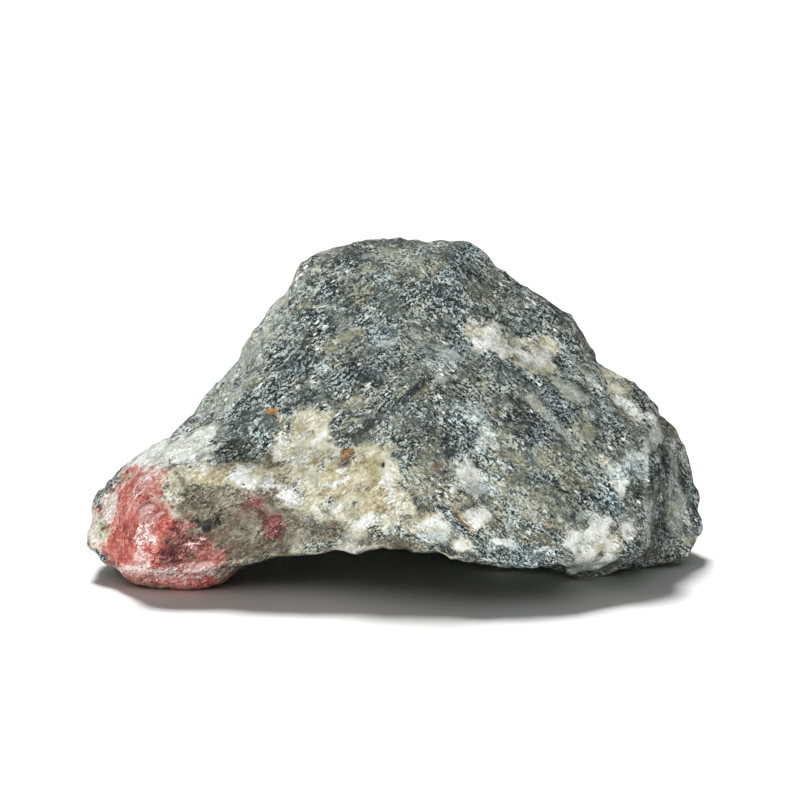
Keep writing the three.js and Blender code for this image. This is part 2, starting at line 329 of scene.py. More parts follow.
FRONT["olive"] = {
    "neck": (415, 310, 20, 24, 0.5),
    "neck right": (480, 295, 26, 14, 0.5, -20),
    "brow": (360, 296, 17, 17, 0.8),
    "right of ledge": (420, 390, 24, 16, 0.8, 30),
    "middle": (480, 385, 22, 16, 0.6),
    "under ledge": (415, 440, 40, 20, 0.5, 20),
    "scoop low": (235, 545, 44, 20, 0.9),
    "right flank": (575, 345, 16, 26, 0.4, 35),
    "matrix right": (520, 440, 90, 50, 0.45),
    "low middle": (540, 480, 66, 34, 0.6),
}
FRONT["beige"] = {
    "crown": (393, 252, 17, 14, 0.9),
    "crown low": (366, 268, 12, 8, 0.6),
    "brow": (370, 303, 10, 9, 0.8),
    "cheek": (335, 338, 14, 9, 0.8, 20),
    "cheek right": (355, 330, 11, 6, 0.7),
    "below crown": (425, 268, 16, 12, 0.5),
    "above ledge": (357, 403, 15, 9, 0.8),
    "beside cream": (430, 482, 34, 30, 0.6),
    "low middle": (455, 500, 18, 18, 0.6),
    "right middle": (594, 450, 13, 6, 0.9, -12),
    "right face strip": (676, 463, 5, 22, 1, -3),
    "right skyline": (560, 330, 12, 18, 0.4, 45),
    "centre right": (550, 460, 34, 26, 0.45),
    "end low": (694, 545, 14, 8, 0.8, 25),
    "right slope spot": (585, 413, 10, 7, 0.7, -20),
    "matrix": (400, 380, 120, 80, 0.2, 20),
    "crown wide": (400, 262, 50, 20, 0.35),
    "low right wide": (540, 485, 70, 34, 0.6),
    "left of shoulder": (582, 432, 18, 11, 0.9, -20),
    "right face": (618, 403, 18, 12, 0.85, -20),
}
FRONT["ash"] = {
    # The left flank: partly its own striated grey, partly painted light on the side that faces the
    # light.
    "left flank high": (292, 288, 30, 11, 0.7, 62),
    "left flank": (262, 330, 44, 15, 0.85, 60),
    "left flank low": (238, 368, 36, 17, 1, 55),
    "left foot": (212, 398, 22, 10, 0.8, 48),
    "right ridge": (648, 440, 20, 12, 0.5, -40),
    # Painted light on the ledge's upper edge, which catches the light.
    "ledge light": (400, 378, 16, 9, 0.4, 25),
    "high left": (325, 250, 22, 7, 0.5, 10),
}
FRONT["frost"] = {
    "under blue": (386, 340, 18, 6, 0.6),
    "beside blue": (412, 330, 12, 8, 0.5),
    "ledge left": (346, 385, 10, 10, 0.5),
    "centre": (478, 412, 18, 14, 0.5),
    "centre right": (515, 408, 10, 5, 0.5),
    "right": (550, 392, 16, 9, 0.6, -15),
    "right ridge": (640, 447, 18, 8, 0.7, 35),
    "low middle right": (495, 492, 12, 8, 0.5),
    "right low": (616, 478, 11, 20, 0.9),
    "low blue": (436, 528, 16, 9, 0.9),
    "ledge under": (362, 428, 18, 12, 0.4, 35),
    "low right": (600, 516, 20, 8, 0.6),
    "low edge": (508, 541, 16, 7, 0.8),
    "ridge band": (657, 436, 15, 9, 0.95, 48),
    "ridge band low": (636, 457, 17, 8, 0.85, 25),
    "right of corner": (645, 528, 6, 12, 0.4),
    "low pale": (428, 534, 15, 8, 0.8),
    "below cream": (343, 536, 11, 15, 0.9, -10),
    "shoulder end": (645, 398, 8, 6, 0.9),
    "toe top": (200, 430, 16, 8, 0.6, 30),
    "wide right": (610, 455, 40, 40, 0.35),
    "wide top": (420, 330, 50, 30, 0.3),
    "right knot": (470, 480, 15, 20, 1, -10),
    "right of blue high": (450, 345, 16, 8, 0.5, -20),
    "low middle high": (486, 440, 10, 12, 0.9),
    "over middle": (440, 356, 34, 20, 0.75, -20),
    "below streak": (490, 374, 28, 11, 0.6, -20),
    "left of shoulder": (587, 404, 20, 12, 0.7, -35),
    "middle line": (436, 370, 24, 10, 0.85, -25),
}
FRONT["clay"] = {
    "toe": (150, 525, 85, 66),
    "scoop": (230, 520, 70, 44),
    "scoop right": (285, 535, 40, 26, 0.9),
    # Partly olive clay, partly painted shade in the hollow of the arch.
    "arch edge": (390, 545, 34, 10, 0.8, 3),
    "below cream": (350, 525, 60, 22, 0.6),
    "band": (240, 480, 60, 24),
    "toe foot": (160, 580, 80, 24),
}
FRONT["cream"] = {
    "bump": (306, 434, 30, 20),
    "body": (345, 488, 56, 38, 1, -6),
    "body right": (386, 498, 26, 36),
    "body low": (345, 514, 46, 14, 0.9),
    "band": (246, 470, 46, 10, 1, -4),
    "band left": (203, 468, 26, 14, 1, -8),
    "ledge foot": (312, 416, 12, 8, 0.7),
    "streak left": (480, 330, 20, 8, 1, -20),
    "streak middle": (503, 345, 26, 14, 1, -20),
    "streak right": (536, 354, 33, 16, 1, -15),
    "streak end": (555, 365, 10, 8, 0.8),
    "shoulder": (622, 394, 28, 16, 1, -35),
    "shoulder high": (610, 372, 12, 8, 0.8, -45),
    "shoulder low": (634, 412, 18, 8, 0.9, -25),
    "flank high": (302, 306, 12, 5, 0.7, 10),
    "toe top": (166, 452, 46, 20, 1, 33),
    "toe margin": (95, 530, 13, 30),
    "toe right": (178, 488, 12, 17),
    "tip": (707, 530, 5, 14, 0.5, 12),
    "right low": (566, 520, 10, 9, 0.6),
    "arch rim": (330, 551, 60, 4, 0.7, 2),
    "streak high": (522, 341, 16, 6),
    "right spot": (606, 459, 5, 3, 1, 20),
    "corner": (600, 546, 38, 18, 1, 14),
    "knot": (480, 516, 17, 13),
    "low pale": (430, 524, 22, 9, 0.9),
    "rim right": (450, 557, 18, 1.8, 0.8, -6),
    "stain side": (462, 541, 13, 8, 0.9, -30),
    "scoop rim": (240, 563, 17, 2.5, 0.9, 12),
    "scoop rim right": (300, 555, 30, 2.5, 0.9, 3),
    "toe base": (132, 522, 50, 56),
    "tail": (415, 522, 30, 9, 0.7, -4),
    "left of heart": (290, 462, 18, 24),
    "body right low": (400, 505, 22, 24, 0.9),
    "wide": (345, 480, 74, 44, 0.95, -6),
    "wide left": (292, 450, 24, 34, 0.95),
}
FRONT["white"] = {
    "toe cap": (163, 455, 44, 17, 1, 34),
    "shelf": (262, 480, 34, 9, 1, -20),
    "cream heart": (300, 460, 16, 15, 0.8),
    "cream right": (388, 484, 13, 26, 0.6),
    "streak heart": (493, 342, 24, 11, 1, -30),
    "shoulder": (628, 404, 26, 10, 0.9, -35),
    "corner": (586, 547, 26, 14, 1, 12),
    "corner high": (601, 527, 13, 10, 1, 20),
    "right knot": (627, 533, 9, 14, 0.9),
    "low knot": (480, 516, 15, 12),
    "chip": (295, 321, 3.5, 2, 1, 10),
    "chip right": (606, 461, 3.5, 1.8, 1, 30),
    "low middle": (467, 478, 12, 18, 0.95, -10),
    "pale lip": (535, 513, 6, 7, 0.6),
    "cream low": (372, 522, 24, 7, 0.9, 10),
    "low pale": (434, 522, 18, 8, 0.9, 10),
    "high knot": (484, 440, 9, 12, 0.5, -20),
    "streak foot": (505, 354, 12, 7, 0.8, -20),
    "right low": (617, 487, 8, 11, 0.95),
    "shelf end": (289, 495, 9, 11, 0.9, -40),
    "body left": (296, 478, 8, 20, 0.5),
    "rim": (345, 552, 26, 2, 0.9, 2),
    "low rim": (447, 557, 12, 1.4, 0.8, -6),
    "low edge": (505, 541, 12, 6, 0.6),
    "low edge right": (548, 550, 14, 2.5, 0.9, 20),
    "toe cap right": (190, 450, 24, 15, 0.95, 20),
    "radial": (174, 490, 9, 14, 0.5, -60),
    "band left": (200, 462, 18, 8, 0.5, -10),
    "corner foot": (592, 562, 34, 13, 1, 12),
    "corner right": (628, 535, 11, 16, 0.8, 10),
    "knot heart": (465, 486, 16, 17),
    "below cream": (343, 540, 10, 8, 0.4),
    "toe cap high": (198, 434, 15, 9, 0.95, 28),
    "streak right": (545, 352, 14, 7, 0.6, -15),
}
FRONT["tan"] = {
    "stain line": (466, 526, 19, 5, 0.95, -50),
    "stain arc": (345, 492, 34, 9, 0.65, 4),
    "stain low": (372, 514, 20, 6, 0.75, 10),
    "heart": (352, 472, 36, 22, 0.8),
    "bump": (305, 431, 22, 14, 0.4),
    "tail": (422, 516, 18, 10, 0.8),
}
FRONT["brown"] = {
    "scoop foot": (222, 548, 28, 13, 0.9),
    # Painted shade, in brown, on the down-facing underside at the lower right.
    "overhang": (650, 560, 44, 5, 0.5, 8),
    "low spot": (441, 464, 8, 7, 0.95),
    "corner stain": (613, 532, 4, 9, 0.6),
    "crack": (462, 524, 17, 3.5, 0.9, -48),
    "toe right": (184, 515, 12, 20, 0.75),
    "cream stain": (343, 455, 12, 11, 0.85),
    "cream stain low": (352, 486, 20, 9, 0.6),
}
FRONT["rose"] = {
    "body": (140, 520, 38, 36),
    "body high": (142, 490, 24, 15),
    "foot": (150, 556, 52, 18),
    "bevel": (168, 581, 66, 17, 0.8),
    "margin": (108, 555, 14, 16, 0.8),
    "flange": (99, 507, 8, 6, 0.7),
    "blush": (262, 512, 28, 20, 0.42, -15),
    "margin high": (113, 520, 10, 34, 0.8, 6),
    "halo right": (188, 512, 18, 30, 0.4),
    "top": (140, 480, 26, 13, 1, 15),
    "top fade": (142, 468, 26, 8, 0.5, 25),
}
FRONT["red"] = {
    "left": (120, 520, 12, 14, 0.7),
    "left low": (122, 543, 20, 16, 0.95),
    "low": (112, 552, 13, 10, 0.8),
    "bevel": (204, 582, 13, 7, 0.9, 15),
    "middle": (161, 515, 15, 13, 0.95),
    "top left": (121, 493, 10, 12),
}
FRONT["maroon"] = {
    "low": (184, 548, 24, 20, 0.75),
    "low left": (168, 556, 16, 10, 0.8),
    "patch": (258, 507, 19, 14, 0.8),
    "patch low": (275, 525, 11, 14, 0.8, -20),
    "bevel": (205, 574, 22, 7, 0.6, 15),
    "flange": (97, 508, 4, 4, 0.6),
    "bevel left": (113, 564, 9, 6, 0.7, -30),
    "bevel dark": (150, 583, 40, 5, 0.5, -8),
    "toe right": (181, 516, 13, 17, 0.85),
    "toe heart": (158, 500, 14, 14, 0.55),
}
FRONT["pearl"] = {
    "left margin": (91, 532, 9, 24, 0.6, 6),
    "bevel": (165, 572, 56, 6, 0.85),
    "flange": (92, 492, 8, 8, 0.5),
    "upper blush": (150, 472, 24, 7, 0.6, 25),
    "left margin high": (105, 508, 8, 14),
}
FRONT["petal"] = {
    "streak": (146, 522, 7, 20, 0.9, -8),
    "streak low": (148, 545, 13, 10, 0.8),
    "streak foot": (152, 556, 12, 6, 0.5),
    "high": (131, 492, 5, 6, 0.8, 35),
    "fleck": (189, 548, 7, 3, 0.7),
    "bevel": (160, 575, 52, 6, 0.8),
    "edge": (118, 482, 10, 6, 0.6, 30),
    "bevel high": (176, 568, 44, 3, 0.8, 3),
    "bevel right": (225, 571, 16, 4, 0.6, 20),
    "bevel low": (180, 586, 50, 4, 0.5),
    "streak top": (140, 500, 4, 8, 0.6, -10),
    "salmon": (138, 489, 26, 14, 0.4),
}
FRONT["black"] = {
    "toe dot": (207, 526, 5, 5),
    "toe dot right": (221, 523, 2.5, 4, 0.8),
    "cream dot": (381, 464, 1.8, 3),
    "bump dot": (287, 429, 1.5, 2, 0.9),
    "shelf dots": (243, 482, 4, 1.2, 0.6, -15),
    "shelf dots right": (262, 488, 4, 1.2, 0.6, -20),
    "scoop dot": (196, 516, 3, 4, 0.6),
    "cream speck": (398, 531, 5, 2, 0.7, 30),
    # Painted shade, partly: black over the right face and end, turned from the light, over their own
    # dark striations.
    "right face": (662, 495, 20, 58, 0.55, 2),
    "right end": (692, 512, 10, 26, 0.45, 8),
}
FRONT["rust"] = {
    "upper spot": (270, 409, 5, 2),
    "margin spot": (92, 545, 2, 2, 0.9),
    "margin spot low": (97, 547, 1.6, 1.6, 0.8),
    "right spot": (545, 523, 3, 2, 0.7),
    "stain": (470, 531, 5, 2.5, 0.4, -45),
    "stain in cream": (343, 452, 10, 9, 0.53, 20),
}

# On the hidden sides: how many patches of each mineral, their smallest and largest half size in
# millimetres, and the share of the ground that they cover.
HIDDEN = {
    "dark": (26, 1.2, 4.0, 0.8),
    "steel": (12, 2.0, 5.0, 0.7),
    "olive": (12, 2.0, 6.0, 0.7),
    "beige": (8, 1.0, 3.0, 0.8),
    "ash": (6, 2.0, 5.0, 0.7),
    "frost": (12, 0.8, 2.6, 0.7),
    "cream": (12, 1.4, 5.0, 1.0),
    "white": (9, 0.8, 2.8, 0.9),
    "rose": (2, 1.4, 3.0, 0.5),
    "maroon": (2, 0.9, 2.0, 0.45),
    "rust": (4, 0.2, 0.5, 0.9),
}
HIDDEN_SEED = 11
# The half sizes go by a random number to this power, so most are small.
HIDDEN_POWER = 1.5
HIDDEN_SLANT = (0.3, 0.2, 1.0)
# A patch's edge: how soft it is in millimetres, at most this share of a small patch, how it
# wanders (size, amount), less on a patch under WANDER_HALF, and how ragged the streaks make it.
EDGE_SOFTNESS = 1.8
SOFTNESS_SHARE = 0.8
EDGE_WANDER = ((2.6, 0.9), (1.1, 0.7), (0.5, 0.3))
WANDER_SEED = 100
WANDER_HALF = 2.0
RAGGEDNESS = 0.75
RAGGED_HALF = 1.6
RAGGED_SEED = 170
# The rock's fabric: streaks STREAK_STRETCH times as long as wide, which rise by STREAK_TURN degrees
# to the middle from the left and fall from it to the right; (width in millimetres, amount) of each.
STREAKS = ((2.4, 0.55), (1.1, 0.45), (0.5, 0.35))
STREAK_STRETCH = 2.6
STREAK_TURN = 38
STREAK_BLEND = 6.0
# A haze of a mineral: the value of the streaks at which it begins, the value at which it is full,
# and its cover there. It is thinner by HAZE_OFF_DARK where the dark mineral is.
HAZES = {
    "dark": (0.02, 0.5, 0.7),
    "steel": (0.12, 0.6, 0.45),
    "olive": (0.02, 0.45, 0.6),
    "beige": (0.22, 0.7, 0.55),
    "frost": (0.28, 0.75, 0.6),
}
HAZE_SEED = 200
HAZE_OFF_DARK = 0.9
# A vein of a mineral runs only in its host: the host, then the same three values.
VEINS = {
    "tan": ("cream", -0.05, 0.4, 0.75),
    "white": ("cream", 0.0, 0.35, 0.8),
    "brown": ("clay", 0.0, 0.45, 0.7),
    "red": ("rose", -0.1, 0.35, 0.85),
    "maroon": ("rose", 0.15, 0.5, 0.7),
    "petal": ("rose", 0.05, 0.4, 0.8),
}
VEIN_SEED = 300
# Slow noise (size, amount) thins the covers of these minerals, by THINNEST at most.
THINNING = ((2.4, 0.6), (0.9, 0.5))
THINNING_SEED = 130
THINNEST = 0.55
THINNED = ("dark", "steel", "olive", "beige", "ash", "frost", "cream", "tan", "white", "brown",
           "maroon", "petal")
NEAR_PIXELS = 3.0
FRONT_DEPTH = 3.0
HIDDEN_DEPTH = 1.5


def view_places(points):
    """Each point's place in the view: pixels to the right, pixels down, and millimetres away."""
    away = points - np.array(CAMERA_TARGET) / MM
    right, up, back = (away @ axis for axis in VIEW_AXES)
    depth = CAMERA_DISTANCE / MM - back
    across = VIEW_PIXELS / 2 + FOCAL_PIXELS * right / depth
    down = VIEW_PIXELS / 2 - FOCAL_PIXELS * up / depth
    return across, down, depth


def streaks(points, seed):
    """Noise from about -1 to 1, drawn out along the fabric: one run of it turned up to the right
    and one turned down, shared by half of 1 + tanh(x / STREAK_BLEND)."""
    right_share = (1 + np.tanh(points[:, 0] / STREAK_BLEND)) / 2
    total = np.zeros(len(points))
    for turn, share in ((STREAK_TURN, 1 - right_share), (-STREAK_TURN, right_share)):
        cosine, sine = cosine_and_sine(turn)
        along = (points[:, 0] * cosine + points[:, 2] * sine) / STREAK_STRETCH
        turned = np.stack([along, points[:, 1], points[:, 2] * cosine - points[:, 0] * sine], axis=1)
        for number, (size, amount) in enumerate(STREAKS):
            total += share * amount * noise(turned, size, seed + number)
    return total


def patch_cover(points, wander, ragged, middle, axes, half, depth, turn, cover):
    """How much a patch covers each point: r is the length of (a / half width, b / half height,
    c / depth), with a and b along the turned patch and c along the last of its axes; the edge
    r = 1 wanders, less for a small patch, is ragged by the streaks there, and is softened over
    EDGE_SOFTNESS millimetres."""
    away = points + wander * min(min(half) / WANDER_HALF, 1) - middle
    right, rise, off = (away @ axis for axis in axes)
    cosine, sine = cosine_and_sine(turn)
    along = (right * cosine + rise * sine) / half[0]
    aside = (rise * cosine - right * sine) / half[1]
    inside = (1 - np.sqrt(along ** 2 + aside ** 2 + (off / depth) ** 2)) * min(half)
    inside += RAGGEDNESS * min(min(half), RAGGED_HALF) * ragged
    softness = min(EDGE_SOFTNESS, SOFTNESS_SHARE * min(half))
    return cover * smoothstep(-softness, softness, inside)


def mineral_covers(points, normals):
    """For each mineral, the greatest cover of its patches at each point, from 0 to 1."""
    across, down, depth = view_places(points)
    facing = normals @ VIEW_AXES[2] > 0
    wander = sum(amount * drift(points, size, WANDER_SEED + 10 * number)
                 for number, (size, amount) in enumerate(EDGE_WANDER))
    ragged = streaks(points, RAGGED_SEED)

    def front_patch(x, y, wide, high, cover=1.0, turn=0):
        """A patch on the nearest point that shows at this place in the view."""
        off = np.hypot(across - x, down - y)
        close = (off < max(NEAR_PIXELS, off[facing].min() + 1)) & facing
        seen = np.flatnonzero(close)[depth[close].argmin()]
        half = (wide * PIXEL, high * PIXEL)
        return patch_cover(points, wander, ragged, points[seen], VIEW_AXES, half,
                           FRONT_DEPTH + max(half), turn, cover)

    covers = {mineral: np.max([front_patch(*patch) for patch in patches.values()], axis=0)
              for mineral, patches in FRONT.items()}
    hidden = np.flatnonzero(~facing)
    draw = np.random.default_rng(HIDDEN_SEED)
    for mineral, (count, least, most, cover) in HIDDEN.items():
        for _ in range(count):
            place = hidden[draw.integers(len(hidden))]
            half = least + (most - least) * draw.random(2) ** HIDDEN_POWER
            side = unit(np.cross(normals[place], HIDDEN_SLANT)[None])[0]
            rise = np.cross(normals[place], side)
            covers[mineral] = np.maximum(covers[mineral], patch_cover(
                points, wander, ragged, points[place], (side, rise, normals[place]), half,
                HIDDEN_DEPTH + min(half), draw.uniform(0, 180), cover))
    for number, mineral in enumerate(THINNED):
        thin = sum(amount * noise(points, size, THINNING_SEED + 2 * number + step)
                   for step, (size, amount) in enumerate(THINNING))
        covers[mineral] *= 1 - np.clip(thin, 0, THINNEST)
    clear = 1 - HAZE_OFF_DARK * covers["dark"]
    for number, (mineral, (low, high, cover)) in enumerate(HAZES.items()):
        haze = clear * cover * smoothstep(low, high, streaks(points, HAZE_SEED + 10 * number))
        covers[mineral] = np.maximum(covers[mineral], haze)
    for number, (mineral, (host, low, high, cover)) in enumerate(VEINS.items()):
        vein = cover * smoothstep(low, high, streaks(points, VEIN_SEED + 10 * number))
        covers[mineral] = np.maximum(covers[mineral], covers[host] * vein)
    return covers


# ---- the fine relief --------------------------------------------------------
# Broken planes (size, tilt, sharpness) and lumps (size, height), in millimetres.
CHIPS = ((2.6, 0.15, 12), (1.3, 0.20, 10))
CHIP_SEED = 200
GRAINS = ((1.0, 0.06), (0.55, 0.05))
GRAIN_SEED = 300
RELIEF_FADE = 0.55
FACING_EDGE = 0.15

# Seams on the front: how far the rock drops on the right-hand side of the walk, how deep the seam
# is cut (a rib if it is negative) and the cut's half width, all three in millimetres, then the
# walk's places (x, y) in the view.
SEAMS = {
    "ledge": (0.9, 0.6, 0.45, (340, 442), (362, 431), (382, 413), (404, 396), (440, 371)),
    "pocket": (-0.4, 0.35, 0.4, (228, 461), (240, 458), (256, 460), (272, 466)),
    "stain crack": (0.15, 0.45, 0.3, (448, 515), (460, 524), (478, 537)),
    "toe bevel": (0.25, -0.2, 0.5, (104, 558), (118, 567), (140, 572), (170, 573), (200, 569),
        (232, 561)),
    "band edge": (0.45, 0, 0.5, (176, 474), (205, 478), (240, 483), (268, 494), (292, 503),
        (300, 516)),
    "toe face left": (-0.35, 0, 0.5, (128, 474), (114, 492), (106, 515), (100, 540)),
    "flange gap": (-0.3, 0.3, 0.4, (160, 446), (130, 469), (110, 487), (98, 505)),
    "arch cave": (0.6, 0, 0.5, (366, 548), (378, 534), (392, 531), (404, 538), (410, 549)),
    "arch tooth": (0, -0.5, 0.5, (334, 552), (342, 550), (352, 552)),
    "arch lip": (0, -0.3, 0.35, (330, 553), (370, 551), (410, 549), (440, 553), (480, 561)),
    "corner left": (-0.3, 0.25, 0.4, (566, 570), (561, 556), (570, 543)),
    "corner foot": (0.9, -0.2, 0.4, (567, 575), (600, 567), (636, 554), (660, 545)),
    "right ridge": (-0.5, -0.2, 0.6, (655, 424), (646, 446), (632, 470), (634, 500), (637, 530),
        (636, 550)),
    "face line": (-0.3, -0.2, 0.35, (673, 440), (677, 470), (677, 505), (675, 535)),
    "nub": (-0.3, 0.35, 0.4, (703, 506), (701, 522), (694, 538)),
    "left strip edge": (-0.35, 0, 0.5, (312, 280), (292, 318), (268, 350), (238, 380), (212, 412)),
    "crown lip": (0.35, 0, 0.6, (322, 268), (350, 263), (400, 266), (450, 262), (478, 268)),
    "streak edge": (0.3, 0.1, 0.4, (472, 322), (500, 336), (530, 338), (560, 352)),
    "streak foot": (0.3, 0.1, 0.4, (480, 350), (500, 362), (520, 356), (556, 372)),
    "shoulder edge": (0.35, 0, 0.5, (604, 384), (620, 402), (640, 418), (660, 424)),
    "slope step": (0.3, 0, 0.5, (520, 430), (552, 470), (575, 480)),
    "slope step low": (0.35, 0.1, 0.4, (575, 470), (600, 482), (618, 500)),
    "middle step": (0.3, 0, 0.5, (445, 395), (455, 430), (460, 470)),
    "knot edge": (0.2, 0.3, 0.3, (478, 478), (490, 482), (497, 491)),
    "brow step": (0.35, 0, 0.5, (290, 330), (320, 345), (352, 342)),
    "cheek step": (0.3, 0, 0.5, (280, 372), (310, 362), (338, 372)),
    "bump edge": (0.3, 0, 0.5, (276, 424), (290, 444), (320, 448), (334, 436)),
}
SEAM_REACH = 1.6
SEAM_STEP = 0.3
# A seam cut this deep or deeper is painted fully dark along its trough: painted shade in the crease.
DEEP_CUT = 0.35
SEAM_WANDER = ((4.0, 5.0), (1.2, 2.0))
SEAM_SEED = 400

# Ribs on the front: the middle (x, y) and the half sizes of the ribbed part in pixels of the view,
# the turn of its ribs in degrees, their spacing and their height in millimetres.
RIBS = {
    "left strip": (258, 335, 78, 22, 56, 0.9, 0.35),
    "left foot": (225, 400, 40, 16, 44, 0.8, 0.25),
    "high left": (345, 262, 40, 18, 14, 0.8, 0.2),
    "right face": (662, 498, 62, 24, 88, 0.9, 0.25),
    "right end": (692, 500, 46, 16, 100, 0.8, 0.2),
    "right slope": (560, 400, 60, 40, -48, 1.0, 0.15),
}
RIB_LENGTH = 6.0
RIB_SEED = 420
# The ribs' furrows are painted dark and their crests ash: partly the striations' own colour, partly
# painted shade and painted light.
FURROW_RANGE = (0.05, 0.5)
FURROW_SHADE_COVER = 0.75
CREST_LIGHT_COVER = 0.8


def seams(points, facing):
    """The height of the seams and their painted shade: for the nearest place of each run, at a
    distance d on the side that the sign of s gives, the drop is -tanh(s / step) exp(-(d / reach)^2) /
    2 and the cut is -exp(-(d / half width)^2); a seam cut into the rock gets painted shade along it,
    exp(-(d / half width)^2) times its cut over DEEP_CUT, at most 1."""
    across, down, _ = view_places(points)
    for number, (size, amount) in enumerate(SEAM_WANDER):
        across = across + amount * noise(points, size, SEAM_SEED + 2 * number)
        down = down + amount * noise(points, size, SEAM_SEED + 2 * number + 1)
    height = np.zeros(len(points))
    groove_shade = np.zeros(len(points))
    for drop, cut, half_width, *run in SEAMS.values():
        nearest = np.full(len(points), np.inf)
        side = np.zeros(len(points))
        for (x0, y0), (x1, y1) in zip(run, run[1:]):
            step_x, step_y = x1 - x0, y1 - y0
            long = math.hypot(step_x, step_y)
            share = np.clip(((across - x0) * step_x + (down - y0) * step_y) / long ** 2, 0, 1)
            away = np.hypot(across - x0 - share * step_x, down - y0 - share * step_y) * PIXEL
            signed = ((down - y0) * step_x - (across - x0) * step_y) / long * PIXEL
            side = np.where(away < nearest, signed, side)
            nearest = np.minimum(nearest, away)
        fade = np.exp(-(nearest / SEAM_REACH) ** 2)
        height -= drop / 2 * np.tanh(side / SEAM_STEP) * fade
        trough = np.exp(-(nearest / half_width) ** 2)
        height -= cut * trough
        groove_shade = np.maximum(groove_shade, np.clip(cut / DEEP_CUT, 0, 1) * trough)
    return height * facing, groove_shade * facing


def ribs(points, facing):
    """The ribs' height, and their crests and furrows from 1 to -1: noise stretched along their
    turn, fading out by exp(-(a / half width)^4 - (b / half height)^4)."""
    across, down, depth = view_places(points)
    height = np.zeros(len(points))
    crest = np.zeros(len(points))
    for number, (x, y, wide, high, turn, spacing, amount) in enumerate(RIBS.values()):
        cosine, sine = cosine_and_sine(turn)
        along = ((across - x) * cosine - (down - y) * sine) * PIXEL
        aside = ((across - x) * sine + (down - y) * cosine) * PIXEL
        place = np.stack([along / RIB_LENGTH, aside, depth / RIB_LENGTH], axis=1)
        fade = np.exp(-(along / wide / PIXEL) ** 4 - (aside / high / PIXEL) ** 4)
        rib = fade * noise(place, spacing, RIB_SEED + number)
        height += amount * rib
        crest += rib
    return height * facing, crest


def fine_relief(points, normals, covers):
    """The height added along the normal: chips and grains, calmer where pale minerals lie, and
    on the front the seams and the ribs. The seams' cuts get painted shade; the ribs' furrows are dark
    and their crests ashy, partly the striations' own colour and partly painted shade and painted
    light."""
    facing = smoothstep(0, FACING_EDGE, normals @ VIEW_AXES[2])
    seam_height, groove_shade = seams(points, facing)
    rib_height, crest = ribs(points, facing)
    # Painted shade in the seams' cuts and the ribs' furrows, painted light on the ribs' crests.
    furrow_shade = FURROW_SHADE_COVER * smoothstep(*FURROW_RANGE, -crest)
    covers["dark"] = np.maximum(covers["dark"], np.maximum(groove_shade, furrow_shade))
    covers["ash"] = np.maximum(covers["ash"], CREST_LIGHT_COVER * smoothstep(*FURROW_RANGE, crest))
    height = np.zeros(len(points))
    for number, (size, tilt, sharpness) in enumerate(CHIPS):
        height += facets(points, size, tilt, sharpness, CHIP_SEED + 10 * number)
    for number, (size, amount) in enumerate(GRAINS):
        height += amount * noise(points, size, GRAIN_SEED + number)
    calm = np.maximum(covers["cream"], covers["white"])
    return height * (1 - RELIEF_FADE * calm) + seam_height + rib_height


def make_stone():
    """The stone on the fine net: CAD reaches, smoothed, then the fine relief along the normals."""
    places, quads = cube_net(FINE_CELLS)
    reach = reaches_between(coarse_reaches(), places * COARSE_CELLS / FINE_CELLS)
    for _ in range(SMOOTHING_ROUNDS):
        reach = (reach + neighbour_mean(reach, quads)) / 2
    base = points_at(directions(places, FINE_CELLS), reach)
    normals = normals_of(base, quads)
    calm = normals
    for _ in range(CALMING_ROUNDS):
        calm = np.stack([neighbour_mean(calm[:, axis], quads) for axis in range(3)], axis=1)
    covers = mineral_covers(base, unit(calm))
    points = base + normals * fine_relief(base, unit(calm), covers)[:, None]
    points[:, 2] = np.maximum(points[:, 2], 0)

    mesh = bpy.data.meshes.new("stone_surface")
    mesh.from_pydata((points * MM).tolist(), [], quads.tolist())
    mesh.polygons.foreach_set("use_smooth", np.ones(len(quads), bool))
    for mineral, cover in covers.items():
        layer = mesh.attributes.new(mineral, "FLOAT", "POINT")
        layer.data.foreach_set("value", cover.astype(np.float32))
    mesh.update()
    stone = bpy.data.objects.new("stone_surface", mesh)
    bpy.context.collection.objects.link(stone)
    return stone


# ---- materials --------------------------------------------------------------
def screen_colour(red, green, blue):
    """A colour as a screen shows it, 0 to 255, made linear, with full alpha."""
    return tuple(((v / 255 + 0.055) / 1.055) ** 2.4 for v in (red, green, blue)) + (1.0,)


